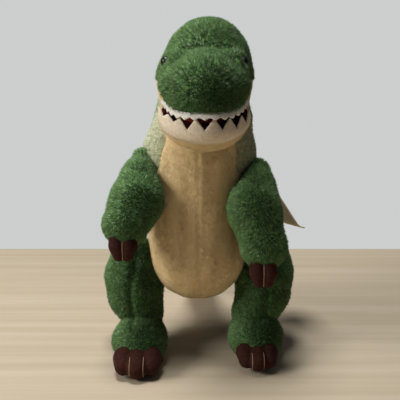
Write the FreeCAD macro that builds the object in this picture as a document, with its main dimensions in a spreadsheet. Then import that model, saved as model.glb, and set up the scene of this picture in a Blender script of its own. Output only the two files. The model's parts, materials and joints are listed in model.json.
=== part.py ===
import FreeCAD, Part
import math
import os
import re

# A stuffed dinosaur about 320 mm tall: sewn plush covers round polyester stuffing, with felt teeth,
# suede claws and toes, plastic safety eyes, a sewn-in label and a card swing tag.
# Millimetres, +Z up, the toy faces -Y. The toy's own left is +X, its own right is -X.
# The origin is on the surface it stands on, under the middle of its bounding box.

# ------------------------------------------------------------------ driving dimensions
SIZES = {
    "height": 320, "body_x": -7, "torso_y": -21, "cover": 2.5, "suede": 1.5, "felt": 1.6, "gap": 0.5,
    "belly_seam_y": -42, "back_seam_y": -8, "torso_widest": 50,
    "neck_x": -2, "neck_y": -24, "neck_z": 240, "neck_ball": 27, "core": 13, "core_low": 204, "core_high": 238,
    "cheeks_y": -22,
    "pellets_z": 80, "pellets_wide": 25, "pellets_tall": 10,
    "head_x": -1, "cap_seam_z": 248, "cheek_low_z": 226, "mouth_y": -61, "mouth_z": 240,
    "lining": 1.6, "eye_y": -74, "eye_z": 281, "eye_out": 33, "eye_ball": 4.6, "eye_deep": 7,
    "washer": 7, "washer_thick": 1.5, "stem": 1.6, "stem_long": 6,
    "rim_z": 233, "jaw_rake": 17, "tongue_y": -88, "tongue_wide": 14, "tongue_deep": 19, "tongue_tall": 8,
    "upper_point": 4.4, "upper_pitch": 9, "lower_root_z": 226, "lower_point": 14, "lower_pitch": 15.5,
    "left_shoulder_x": 54, "left_shoulder_z": 185, "left_arm_drop": 79, "left_paw_in": 9,
    "right_shoulder_x": -68, "right_shoulder_z": 193, "right_arm_drop": 65, "right_paw_in": 0,
    "shoulder_y": -36, "armpit_z": 160,
    "left_leg_x": 57, "left_foot_x": 48, "left_knee_rise": 6, "left_step": 0,
    "right_leg_x": -69, "right_foot_x": -62, "right_knee_rise": 0, "right_step": 11,
    "groin_z": 62, "ankle_z": 30, "toe_pitch": 11, "thread": 0.6, "thread_wide": 1.0,
    "tail_seam_end_y": 150, "tail_seam_end_z": -26, "tail_seam_tilt": 38,
    "tag_x": 48.5, "tag_y": -2, "tag_z": 181, "tag_long": 79, "tag_wide": 42, "tag_thick": 1.2,
    "tag_slope": 57, "tag_twist": -19, "tag_curl": 11, "tag_curl_turn": 55,
    "loop_thick": 1.2, "loop_long": 16, "loop_tilt": 70,
    "label_x": -27, "label_z": 116, "label_tall": 20, "label_out": 14, "label_thick": 1.0,
    "far": 400,
}

# Round soft forms: each section is a circle with centre x, y, z, radius and the tilt of its axis
# from +Z towards -Y, in degrees. The stuffing follows the same sections inside the cover.
TORSO = [
    ("body_x", "torso_y", 51, 16, 0), ("body_x", "torso_y", 59, 30.5, 0), ("body_x", "torso_y", 77, 44, 0),
    ("body_x", "torso_y", 107, 49.5, 0), ("body_x", "torso_y", 142, "torso_widest - 0.6", 0),
    ("body_x", "torso_y", 172, 47, 0), ("body_x + 1", "torso_y", 196, 41.5, 0),
    ("body_x + 3", "torso_y", 210, 34, 0), ("neck_x", "neck_y", 221, 19.5, 0), ("neck_x", "neck_y", 229, 24, 0),
    ("neck_x", "neck_y", 240, 26.4, 0), ("neck_x", "neck_y", 250, 24.6, 0),
]
SKULL = [
    ("head_x", 13, 270, 13, 90), ("head_x", 5, 271, 29, 90), ("head_x", -11, 273, 42, 90),
    ("head_x", -33, "height - 45.5", 45.5, 90), ("head_x", -55, "height - 48.5", 43.5, 90),
    ("head_x", -70, 264.5, 38.5, 90), ("head_x", -86, 258.5, 37, 90), ("head_x", -102, 257.5, 33.5, 90),
    ("head_x", -115, 258, 26.5, 90), ("head_x", -123.5, 259, 17.5, 90), ("head_x", -128, 260, 8, 90),
]
CHEEKS = [
    ("head_x", "cheeks_y", "cheek_low_z", 36, 0), ("head_x", "cheeks_y", 233, 38, 0),
    ("head_x", "cheeks_y", 241, 38.3, 0), ("head_x", "cheeks_y", "cap_seam_z", 38, 0),
]
JAW = [
    ("head_x", -58, 248, 36.5, 90), ("head_x", -78, 249, 37.5, 90), ("head_x", -98, 246, 33.5, 90),
    ("head_x", -111, 241, 25.5, 90), ("head_x", -118.5, 236, 16, 90), ("head_x", -122, 232, 7, 90),
]
TAIL = [
    ("body_x", 16, 92, 21, 45), ("body_x", 38, 74, 22, 48), ("body_x", 61, 52, 20.5, 48),
    ("body_x", 85, 30, 17, 58), ("body_x", 104, 14, 15, 78), ("body_x", 119, 9.5, 10.5, 88),
    ("body_x", 127.5, 9, 4, 90),
]
# Down an arm: how far along its drop, how far forward, how far towards the body, and the radius.
ARM = [
    (0, 0, 0, 8), (0.13, 5, -4, 14), (0.33, 17, -4, 17), (0.58, 37, 0.4, 24), (0.77, 43, 1, 26.5),
    (0.93, 48, 0.8, 21), (1, 51, 0.5, 12),
]
CLAWS = [(0, 51, 11.3), (4, 55, 12), (9, 58.5, 10.5), (13, 60, 7), (16, 60.5, 3)]
# Down a leg: y, z, radius, and the share of the way from hip to foot sideways. Then from heel to toe.
LEG = [
    (-31, 110, 10, 0), (-31, 104, 19, 0), (-31, 91, 26.5, 0), (-31, 74, 28.5, 0), (-32, 57, 27, 0.3),
    (-37, 42, 23, 0.7), ("-40", "ankle_z", 21.5, 1),
]
FOOT = [
    (-17, 15, 8), (-22, 15, 16), (-38, 13.5, 23), (-60, 13, 24.5), (-76, 12.5, 22.5), (-88, 12.5, 18.5),
]
TOES = [(-88, 12.5, 17.5), (-94, 12.5, 17.5), (-100, 11.5, 13.5), (-103.5, 10.5, 7)]

doc = FreeCAD.newDocument("stuffed_dinosaur")
sheet = doc.addObject("Spreadsheet::Sheet", "Params")
filled = []


def keep(alias, value):
    """Put one driving number in the sheet under its alias."""
    row = len(filled) + 1
    sheet.set(f"A{row}", alias)
    sheet.set(f"B{row}", str(value))
    sheet.setAlias(f"B{row}", alias)
    filled.append(alias)
    return alias


for size_name, size in SIZES.items():
    keep(size_name, size)


# ------------------------------------------------------------------ helpers
def bound(text):
    """An expression in which every driving dimension is read from the sheet."""
    return re.sub(r"[a-z]\w*", lambda m: f"Params.{m[0]}" if m[0] in filled else m[0], str(text))


def drive(obj, prop, text):
    obj.setExpression(prop, bound(text))


def place(obj, at, tilt="0", axis=(1, 0, 0)):
    """Put an object at three expressions, turned about an axis by a fourth."""
    for letter, text in zip("xyz", at):
        drive(obj, f"Placement.Base.{letter}", text)
    obj.Placement.Rotation = FreeCAD.Rotation(FreeCAD.Vector(*axis), 1)
    drive(obj, "Placement.Rotation.Angle", tilt)
    return obj


def soft_form(name, stations, thinner="0", open_start=False, open_end=False):
    """A loft through the stations. The filling is thinner and stops one section short of a closed end."""
    filling = thinner != "0"
    first = 1 if filling and not open_start else 0
    last = len(stations) - (1 if filling and not open_end else 0)
    sections = []
    for x, y, z, radius, tilt in stations[first:last]:
        circle = doc.addObject("Part::Circle", f"{name}_section")
        drive(circle, "Radius", f"{radius} - {thinner}")
        sections.append(place(circle, (x, y, z), tilt))
    form = doc.addObject("Part::Loft", name)
    form.Sections = sections
    form.Solid = True
    return form


def block(name, low, size, tilt="0", axis=(1, 0, 0)):
    """A box from its lowest corner."""
    obj = doc.addObject("Part::Box", name)
    for prop, text in zip(("Length", "Width", "Height"), size):
        drive(obj, prop, text)
    return place(obj, low, tilt, axis)


def slab(name, axis, low, high):
    """All the space between two planes across one axis."""
    corner, size = ["-far"] * 3, ["2 * far"] * 3
    corner["xyz".index(axis)] = low
    size["xyz".index(axis)] = f"({high}) - ({low})"
    return block(name, corner, size)


def rod(name, at, radius, length, angle="0", axis=(0, 1, 0)):
    """A cylinder that starts at a point and runs along +Z, turned about the given axis."""
    obj = doc.addObject("Part::Cylinder", name)
    drive(obj, "Radius", radius)
    drive(obj, "Height", length)
    return place(obj, at, angle, axis)


def ball(name, at, radius):
    obj = doc.addObject("Part::Sphere", name)
    drive(obj, "Radius", radius)
    return place(obj, at)


def join(name, *objects):
    obj = doc.addObject("Part::MultiFuse", name)
    obj.Shapes = list(objects)
    return obj


def cut(name, base, *tools):
    """base with each of the tools taken out of it."""
    for number, tool in enumerate(tools):
        obj = doc.addObject("Part::Cut", name if number == len(tools) - 1 else f"{name}_cut")
        obj.Base = base
        obj.Tool = tool
        base = obj
    return base


def overlap(name, first, second):
    obj = doc.addObject("Part::Common", name)
    obj.Base = first
    obj.Tool = second
    return obj


nodes = []


def node(label, obj):
    """Name a finished sub-part; its label is its file's name."""
    obj.Label = label
    nodes.append(obj)
    return obj


# ------------------------------------------------------------------ torso and neck
torso = soft_form("torso_form", TORSO, open_end=True)
torso_room = soft_form("torso_room", TORSO, "cover", open_end=True)
torso_wrap = cut("torso_wrap", torso, torso_room)
front = slab("front_space", "y", "-far", "belly_seam_y")
flank = slab("flank_space", "y", "belly_seam_y", "back_seam_y")
rear = slab("rear_space", "y", "back_seam_y", "far")
node("belly_panel", overlap("belly_panel", torso_wrap, front))
node("back_panel", overlap("back_panel", torso_wrap, rear))
flanks = overlap("flanks", torso_wrap, flank)
node("left_side_panel", overlap("left_side_panel", flanks, slab("left_space", "x", "body_x", "far")))
node("right_side_panel", overlap("right_side_panel", flanks, slab("right_space", "x", "-far", "body_x")))

node("neck_core", rod("neck_core", ("neck_x", "neck_y", "core_low"), "core", "core_high - core_low"))
core_room = rod("core_room", ("neck_x", "neck_y", "core_low - gap"), "core + gap",
                "core_high - core_low + 2 * gap")
pouch = doc.addObject("Part::Ellipsoid", "pellet_pouch")
for prop, text in (("Radius1", "pellets_tall"), ("Radius2", "pellets_wide"), ("Radius3", "pellets_wide")):
    drive(pouch, prop, text)
node("pellet_pouch", place(pouch, ("body_x", "torso_y", "pellets_z")))
node("torso_stuffing", cut("torso_stuffing", torso_room, core_room, pouch))

label_strip = block("label_strip", ("label_x - label_thick / 2", "0", "label_z"),
                    ("label_thick", "label_tall + label_out", "label_tall"))
node("sewn_label", cut("sewn_label", label_strip, torso))

# ------------------------------------------------------------------ head
under_seam = slab("under_seam", "z", "-far", "cap_seam_z")
# The maroon lining closes the underside of the whole cap, and shows as the mouth's roof.
under_lining = slab("under_lining", "z", "-far", "cap_seam_z + lining")
socket = ball("neck_socket", ("neck_x", "neck_y", "neck_z"), "neck_ball + gap")
lined_socket = ball("lined_socket", ("neck_x", "neck_y", "neck_z"), "neck_ball + gap + 1")
skull = cut("skull", soft_form("skull_form", SKULL), under_seam, socket)
skull_room = cut("skull_room", soft_form("skull_hollow", SKULL, "cover"), under_lining, lined_socket)
cheeks = cut("cheeks", soft_form("cheeks_form", CHEEKS), socket)
cheeks_room = cut("cheeks_room", soft_form("cheeks_hollow", CHEEKS, "cover", open_end=True), lined_socket)

eye_holes = []
for side, sign, turn in (("left", "+", "-90"), ("right", "-", "90")):
    inner = "-" if sign == "+" else "+"
    rim_at = (f"head_x {sign} eye_out", "eye_y", "eye_z")
    dome = ball(f"{side}_eye_dome", rim_at, "eye_ball")
    body = rod(f"{side}_eye_body", rim_at, "eye_ball", "eye_deep", turn)
    stem = rod(f"{side}_eye_stem", rim_at, "stem", "eye_deep + washer_thick + stem_long", turn)
    eye = node(f"{side}_eye", join(f"{side}_eye", dome, body, stem))
    disc_at = (f"head_x {sign} eye_out {inner} eye_deep", "eye_y", "eye_z")
    disc = rod(f"{side}_eye_disc", disc_at, "washer", "washer_thick", turn)
    node(f"{side}_eye_washer", cut(f"{side}_eye_washer", disc, eye))
    eye_holes.append(join(f"{side}_eye_plug", eye, disc))

skull_wrap = cut("skull_wrap", cut("skull_holed", skull, *eye_holes), skull_room)
node("mouth_roof", overlap("mouth_roof", skull, under_lining))
node("head_cap", cut("head_cap", skull_wrap, under_lining))
node("cheek_panel", cut("cheek_panel", cheeks, cheeks_room))
node("cheek_stuffing", cheeks_room)
node("head_stuffing", cut("head_stuffing", skull_room, *eye_holes))


# ------------------------------------------------------------------ teeth: zigzag felt strips
def zigzag(name, root_z, point, pitch, count, upward):
    """A prism along Y whose front view is a band with a row of triangles on one edge."""
    size = {alias: float(sheet.get(alias)) for alias in (root_z, point, pitch, "head_x", "far", "mouth_y")}
    way = 1 if upward else -1
    root, tip = size[root_z], size[root_z] + way * size[point]
    back = size[root_z] - way * 3
    start = size["head_x"] - count * size[pitch] / 2
    corners = [(start, back), (start, root)]
    for step in range(count):
        corners.append((start + (step + 0.5) * size[pitch], tip))
        corners.append((start + (step + 1) * size[pitch], root))
    corners.append((start + count * size[pitch], back))
    points = [FreeCAD.Vector(x, -size["far"], z) for x, z in corners]
    prism = doc.addObject("Part::Feature", name)
    outline = Part.Face(Part.makePolygon(points + points[:1]))
    prism.Shape = outline.extrude(FreeCAD.Vector(0, size["far"] + size["mouth_y"] - 4, 0))
    return prism


doc.recompute()
skull_outside = soft_form("skull_outside", SKULL)
upper_band = cut("upper_band", soft_form("upper_band_form", SKULL, "(-felt)", True, True), skull_outside)
node("upper_teeth", overlap("upper_teeth", upper_band,
                            zigzag("upper_zigzag", "cap_seam_z", "upper_point", "upper_pitch", 7, False)))

# ------------------------------------------------------------------ lower jaw
over_rim = slab("over_rim", "z", "rim_z", "far")
over_lining = slab("over_lining", "z", "rim_z - lining", "far")
# The jaw's back face leans away from the neck, so that the jaw can drop about its corners.
jaw_back = block("jaw_back", ("-far", "mouth_y - gap", "mouth_z"), ("2 * far", "far", "far"), "-90 - jaw_rake")
jaw_whole = soft_form("jaw_form", JAW)
jaw = cut("jaw", jaw_whole, over_rim, jaw_back)
jaw_room = cut("jaw_stuffing", soft_form("jaw_hollow", JAW, "cover", open_start=True), over_lining, jaw_back)
node("jaw_stuffing", jaw_room)
floor_band = slab("floor_band", "z", "rim_z - lining", "rim_z")
node("mouth_floor", overlap("mouth_floor", jaw, floor_band))
node("jaw_cover", cut("jaw_cover", jaw, floor_band, jaw_room))
lower_band = cut("lower_band", soft_form("lower_band_form", JAW, "(-felt)", True, True), jaw_whole)
node("lower_teeth", overlap("lower_teeth", lower_band,
                            zigzag("lower_zigzag", "lower_root_z", "lower_point", "lower_pitch", 4, True)))
tongue = doc.addObject("Part::Ellipsoid", "tongue_form")
for prop, text in (("Radius1", "tongue_tall"), ("Radius2", "tongue_wide"), ("Radius3", "tongue_deep")):
    drive(tongue, prop, text)
place(tongue, ("head_x", "tongue_y", "rim_z"))
node("tongue", cut("tongue", tongue, slab("under_rim", "z", "-far", "rim_z")))


# ------------------------------------------------------------------ arms and legs
def beside_body(name, side, low_z):
    """The space above low_z that belongs to the torso, which a limb on that side keeps out of."""
    reach = "torso_widest + gap"
    corner_x = f"body_x + {reach} - far" if side == "left" else f"body_x - ({reach})"
    return block(name, (corner_x, "-far", low_z), ("far", "2 * far", "far"))


def arm_stations(side, rows):
    """Sections of an arm from shoulder to paw; inward is towards the body's middle."""
    inward = "-" if side == "left" else "+"
    return [
        (f"{side}_shoulder_x {inward} ({share} * {side}_paw_in + {shift})", f"shoulder_y - {forward}",
         f"{side}_shoulder_z - {drop} * {side}_arm_drop", radius, 0)
        for drop, forward, shift, radius in rows
        for share in (min(1.0, drop * 1.6),)
    ]


def arm(side):
    rows = arm_stations(side, ARM)
    keep_out = beside_body(f"{side}_armpit", side, "armpit_z")
    outside = cut(f"{side}_arm_whole", soft_form(f"{side}_arm_form", rows), keep_out)
    room = cut(f"{side}_arm_stuffing", soft_form(f"{side}_arm_room", rows, "cover", open_end=True), keep_out)
    node(f"{side}_arm_stuffing", room)
    node(f"{side}_arm_cover", cut(f"{side}_arm_cover", outside, room))
    paw_x, paw_z = rows[-1][0], rows[-1][2]
    claws = [(paw_x, f"shoulder_y - {forward}", f"{paw_z} - {drop}", radius, 0) for drop, forward, radius in CLAWS]
    claw = soft_form(f"{side}_claw_form", claws)
    claw_room = soft_form(f"{side}_claw_stuffing", claws, "suede", open_start=True)
    node(f"{side}_claw_stuffing", claw_room)
    node(f"{side}_hand_claws", cut(f"{side}_hand_claws", claw, claw_room))
    ridge = cut(f"{side}_claw_ridge", soft_form(f"{side}_claw_raised", claws, "(-thread)", True, True), claw)
    band = slab(f"{side}_claw_band", "x", f"{paw_x} - thread_wide / 2", f"{paw_x} + thread_wide / 2")
    ahead = slab(f"{side}_claw_ahead", "y", "-far", "shoulder_y - 58")
    node(f"{side}_claw_thread", overlap(f"{side}_claw_thread", overlap(f"{side}_claw_line", ridge, band), ahead))


def leg(side):
    def thigh_station(y, z, radius, share):
        x = f"{side}_leg_x * {round(1 - share, 2)} + {side}_foot_x * {share}"
        rise = f"{round(1 - share, 2)} * {side}_knee_rise"
        return (x, f"{y} - {side}_step * {share}", f"{z} + {rise}", radius, 0)

    thigh_rows = [thigh_station(*row) for row in LEG]
    keep_out = beside_body(f"{side}_groin", side, "groin_z")
    thigh = cut(f"{side}_thigh", soft_form(f"{side}_thigh_form", thigh_rows, open_end=True), keep_out)
    thigh_room = cut(f"{side}_leg_stuffing", soft_form(f"{side}_thigh_room", thigh_rows, "cover", open_end=True),
                     keep_out)
    node(f"{side}_leg_stuffing", thigh_room)
    node(f"{side}_thigh_cover", cut(f"{side}_thigh_cover", thigh, thigh_room))

    foot_rows = [(f"{side}_foot_x", f"{y} - {side}_step", z, radius, 90) for y, z, radius in FOOT]
    between = slab(f"{side}_foot_height", "z", "0", "ankle_z")
    inside = slab(f"{side}_foot_inside", "z", "cover", "ankle_z - cover")
    foot = overlap(f"{side}_foot", soft_form(f"{side}_foot_form", foot_rows), between)
    foot_room = overlap(f"{side}_foot_room", soft_form(f"{side}_foot_hollow", foot_rows, "cover", open_end=True),
                        inside)
    node(f"{side}_foot_stuffing", foot_room)
    node(f"{side}_foot_cover", cut(f"{side}_foot_cover", foot, foot_room))

    toe_rows = [(f"{side}_foot_x", f"{y} - {side}_step", z, radius, 90) for y, z, radius in TOES]
    toe_form = soft_form(f"{side}_toe_form", toe_rows)
    toe = overlap(f"{side}_toe", toe_form, between)
    toe_room = overlap(f"{side}_toe_room", soft_form(f"{side}_toe_hollow", toe_rows, "suede", open_start=True),
                       inside)
    node(f"{side}_toe_stuffing", toe_room)
    node(f"{side}_toe_cap", cut(f"{side}_toe_cap", toe, toe_room))
    ridge = cut(f"{side}_toe_ridge", soft_form(f"{side}_toe_raised", toe_rows, "(-thread)", True, True), toe_form)
    above = overlap(f"{side}_toe_above", ridge, slab(f"{side}_toe_upper", "z", "toe_pitch", "far"))
    lines = []
    for sign in "-+":
        middle = f"{side}_foot_x {sign} toe_pitch / 2"
        lines.append(slab(f"{side}_toe_line", "x", f"{middle} - thread_wide / 2", f"{middle} + thread_wide / 2"))
    node(f"{side}_toe_threads", overlap(f"{side}_toe_threads", above, join(f"{side}_toe_lines", *lines)))


for side in ("left", "right"):
    arm(side)
    leg(side)

# ------------------------------------------------------------------ tail
floor_down = slab("below_floor", "z", "-far", "0")
lined_floor = slab("lined_floor", "z", "-far", "cover")
body_space = rod("body_space", ("body_x", "torso_y", "0"), "torso_widest + gap", "far")
tail = cut("tail_whole", soft_form("tail_form", TAIL), body_space, floor_down)
tail_room = cut("tail_stuffing", soft_form("tail_room", TAIL, "cover", open_start=True), body_space, lined_floor)
tail_wrap = cut("tail_wrap", tail, tail_room)
node("tail_stuffing", tail_room)
# The cream underside is the part below a plane that slopes down along the tail.
under_tail = block("under_tail", ("-far", "tail_seam_end_y", "tail_seam_end_z"), ("2 * far", "far", "far"),
                   "180 - tail_seam_tilt")
node("tail_underside", overlap("tail_underside", tail_wrap, under_tail))
node("tail_cover", cut("tail_cover", tail_wrap, under_tail))

# ------------------------------------------------------------------ swing tag on its nylon loop
tag = {alias: float(sheet.get(alias)) for alias in filled if alias.startswith("tag_")}
slope = math.radians(tag["tag_slope"])
along = FreeCAD.Vector(math.cos(slope), 0, -math.sin(slope))
upward = FreeCAD.Vector(math.sin(slope), 0, math.cos(slope))
top = FreeCAD.Vector(tag["tag_x"], tag["tag_y"], tag["tag_z"])
bend = top + along * tag["tag_long"]
middle = bend + upward * tag["tag_curl"]


def on_curl(share, radius):
    """A point of the curl, a share of the way round it, at a radius about its middle."""
    turn = math.radians(tag["tag_curl_turn"]) * share
    return middle + (along * math.sin(turn) - upward * math.cos(turn)) * radius


inner_radius = tag["tag_curl"] - tag["tag_thick"]
outline = Part.Wire([
    Part.LineSegment(top, bend).toShape(),
    Part.Arc(bend, on_curl(0.5, tag["tag_curl"]), on_curl(1, tag["tag_curl"])).toShape(),
    Part.LineSegment(on_curl(1, tag["tag_curl"]), on_curl(1, inner_radius)).toShape(),
    Part.Arc(on_curl(1, inner_radius), on_curl(0.5, inner_radius), on_curl(0, inner_radius)).toShape(),
    Part.LineSegment(on_curl(0, inner_radius), top + upward * tag["tag_thick"]).toShape(),
    Part.LineSegment(top + upward * tag["tag_thick"], top).toShape(),
])
card = doc.addObject("Part::Feature", "tag_card")
card.Shape = Part.Face(outline).extrude(FreeCAD.Vector(0, tag["tag_wide"], 0))
# The card hangs twisted about its long side, so that its back edge is the lower one.
card.Placement = FreeCAD.Placement(FreeCAD.Vector(), FreeCAD.Rotation(along, tag["tag_twist"]), top)
node("tag_card", card)
loop_at = ("tag_x - 1.5 * loop_thick", "tag_y + tag_wide / 10", "tag_z - 1.5 * loop_thick")
node("tag_loop", rod("tag_loop", loop_at, "loop_thick / 2", "loop_long", "-loop_tilt"))

# ------------------------------------------------------------------ check and write
doc.recompute()
for obj in doc.Objects:
    if {"Invalid", "Error"} & set(obj.State):
        raise RuntimeError(f"{obj.Name}: {obj.getStatusString()}")
os.makedirs("parts", exist_ok=True)
for obj in nodes:
    shape = obj.Shape
    if shape.isNull() or not shape.isValid() or not shape.Solids:
        raise RuntimeError(f"{obj.Label} has no valid solid")
    shape.exportStep(f"parts/{obj.Label}.step")
    box = shape.BoundBox
    print(f"{obj.Label:20s} {len(shape.Solids)} solids {shape.Volume:9.0f} mm3 "
          f" x {box.XMin:7.1f} {box.XMax:7.1f}  y {box.YMin:7.1f} {box.YMax:7.1f}  z {box.ZMin:6.1f} {box.ZMax:6.1f}")
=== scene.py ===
import json
import math

import bmesh
import bpy
import numpy as np
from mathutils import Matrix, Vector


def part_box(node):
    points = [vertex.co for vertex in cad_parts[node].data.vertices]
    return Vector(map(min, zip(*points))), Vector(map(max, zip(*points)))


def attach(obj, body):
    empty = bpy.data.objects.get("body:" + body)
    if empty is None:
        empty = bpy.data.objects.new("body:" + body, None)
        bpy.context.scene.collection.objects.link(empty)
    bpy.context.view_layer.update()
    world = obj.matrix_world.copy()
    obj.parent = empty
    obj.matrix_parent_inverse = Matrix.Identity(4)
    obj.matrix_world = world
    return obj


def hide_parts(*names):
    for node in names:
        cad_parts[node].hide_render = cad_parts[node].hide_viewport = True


# A stuffed dinosaur in long-pile plush. Shapes are worked out in millimetres from the boxes of the CAD
# nodes and from the joints, and written in metres. The toy faces -Y and its own left is +X.
MM = 0.001
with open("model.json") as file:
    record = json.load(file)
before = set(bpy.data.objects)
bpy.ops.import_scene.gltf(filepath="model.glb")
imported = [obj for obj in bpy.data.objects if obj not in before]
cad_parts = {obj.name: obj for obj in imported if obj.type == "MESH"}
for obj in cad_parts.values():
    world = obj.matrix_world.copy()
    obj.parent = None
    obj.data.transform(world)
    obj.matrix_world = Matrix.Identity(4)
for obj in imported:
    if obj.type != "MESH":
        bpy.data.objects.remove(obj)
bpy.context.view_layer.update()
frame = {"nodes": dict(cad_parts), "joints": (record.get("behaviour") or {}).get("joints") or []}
pivots = {joint["name"]: np.array(joint["pos_m"]) / MM for joint in frame["joints"]}


def corners(node):
    low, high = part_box(node)
    return np.array(low) / MM, np.array(high) / MM


def middle(node):
    low, high = corners(node)
    return (low + high) / 2


# ------------------------------------------------------------------ places taken from the CAD model
BODY_X, BODY_Y, _ = middle("pellet_pouch")
HEAD_X = middle("head_cap")[0]
CROWN_Z = corners("head_cap")[1][2]
SNOUT_Y = corners("head_cap")[0][1]
LIP_Z = corners("mouth_roof")[0][2]
CHIN_Y = corners("jaw_cover")[0][1]
CHIN_Z = corners("jaw_cover")[0][2]
BELLY_Z = corners("belly_panel")[0][2]
EYE_AT = {side: middle(f"{side}_eye") for side in ("left", "right")}

# Lengths of pile, thicknesses of cloth and felt, and the radius of a thread, in millimetres
PILE = 3.3          # green plush
SHORT_PILE = 1.6    # cream velvet
CURLY_PILE = 2.4    # sage
BACKING_THICK = 1.2
LINING_THICK = 1.0
UPPER_FELT_THICK = 1.1
LOWER_FELT_THICK = 1.3
THREAD_RADIUS = 0.35

# The photograph's camera and the room, in metres
CAMERA_AT = (-0.005, -0.7365, 0.3362)
CAMERA_TARGET = (-0.005, -0.041, 0.1499)
CAMERA_LENS = 69
SENSOR_WIDTH = 36
LIGHTS_TARGET = (0, -0.02, 0.16)
TABLE_WIDE, TABLE_DEEP, TABLE_BACK_EDGE = 3.0, 1.9, 0.26
WALL_COLOUR = (0.60, 0.62, 0.61, 1)
ROOM_COLOUR = (0.95, 0.97, 1.0, 1)
ROOM_STRENGTH = 0.07


# ------------------------------------------------------------------ camera, light, floor
def aim(thing, target):
    thing.rotation_euler = (target - thing.location).to_track_quat("-Z", "Y").to_euler()


def add_camera():
    data = bpy.data.cameras.new("camera")
    data.sensor_width = SENSOR_WIDTH
    data.lens = CAMERA_LENS
    camera = bpy.data.objects.new("camera", data)
    bpy.context.scene.collection.objects.link(camera)
    camera.location = CAMERA_AT
    aim(camera, type(camera.location)(CAMERA_TARGET))
    bpy.context.scene.camera = camera


def add_light(name, place, size, power, colour):
    data = bpy.data.lights.new(name, "AREA")
    data.shape = "DISK"
    data.size = size
    data.energy = power
    data.color = colour
    light = bpy.data.objects.new(name, data)
    bpy.context.scene.collection.objects.link(light)
    light.location = place
    aim(light, type(light.location)(LIGHTS_TARGET))


def add_stage():
    world = bpy.data.worlds.new("room")
    bpy.context.scene.world = world
    world.use_nodes = True
    nodes, links = world.node_tree.nodes, world.node_tree.links
    seen, lit = nodes["Background"], nodes.new("ShaderNodeBackground")
    pick = nodes.new("ShaderNodeMixShader")
    seen.inputs["Color"].default_value = WALL_COLOUR
    lit.inputs["Color"].default_value = ROOM_COLOUR
    lit.inputs["Strength"].default_value = ROOM_STRENGTH
    links.new(nodes.new("ShaderNodeLightPath").outputs["Is Camera Ray"], pick.inputs["Fac"])
    links.new(lit.outputs["Background"], pick.inputs[1])
    links.new(seen.outputs["Background"], pick.inputs[2])
    links.new(pick.outputs["Shader"], nodes["World Output"].inputs["Surface"])
    add_light("window", (-1.25, -0.50, 0.80), 0.7, 14, (1.0, 0.99, 0.97))
    add_light("ceiling", (-0.20, -0.05, 1.70), 0.6, 23, (0.99, 0.99, 1.0))

    bpy.ops.mesh.primitive_plane_add(size=1)
    floor = bpy.context.object
    floor.name = "table"
    floor.scale = (TABLE_WIDE, TABLE_DEEP, 1)
    floor.location = (0, TABLE_BACK_EDGE - TABLE_DEEP / 2, 0)
    material = bpy.data.materials.new("table_top")
    material.use_nodes = True
    tree = material.node_tree
    shader = tree.nodes["Principled BSDF"]
    shader.inputs["Roughness"].default_value = 0.6
    place = tree.nodes.new("ShaderNodeTexCoord")
    stretch = tree.nodes.new("ShaderNodeMapping")
    stretch.inputs["Scale"].default_value = (2.0, 45, 1)
    grain = tree.nodes.new("ShaderNodeTexNoise")
    grain.inputs["Scale"].default_value = 3
    grain.inputs["Detail"].default_value = 4
    tone = tree.nodes.new("ShaderNodeValToRGB")
    tone.color_ramp.elements[0].position = 0.3
    tone.color_ramp.elements[0].color = (0.50, 0.41, 0.285, 1)
    tone.color_ramp.elements[1].position = 0.7
    tone.color_ramp.elements[1].color = (0.58, 0.49, 0.36, 1)
    tree.links.new(place.outputs["Object"], stretch.inputs["Vector"])
    tree.links.new(stretch.outputs["Vector"], grain.inputs["Vector"])
    tree.links.new(grain.outputs["Fac"], tone.inputs["Fac"])
    tree.links.new(tone.outputs["Color"], shader.inputs["Base Color"])
    floor.data.materials.append(material)
    bpy.context.scene.view_settings.view_transform = "Standard"


# ------------------------------------------------------------------ materials
def plain(name, colour, rough, sheen=0.0, tint=(1, 1, 1), coat=0.0, shine=0.15):
    """One colour on the shader's own sockets: for fibres, which are far finer than any texture."""
    material = bpy.data.materials.new(name)
    material.use_nodes = True
    shader = material.node_tree.nodes["Principled BSDF"]
    shader.inputs["Base Color"].default_value = (*colour, 1)
    shader.inputs["Roughness"].default_value = rough
    shader.inputs["Sheen Weight"].default_value = sheen
    shader.inputs["Sheen Tint"].default_value = (*tint, 1)
    shader.inputs["Coat Weight"].default_value = coat
    shader.inputs["Specular IOR Level"].default_value = shine
    material.diffuse_color = (*colour, 1)
    return material


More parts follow.
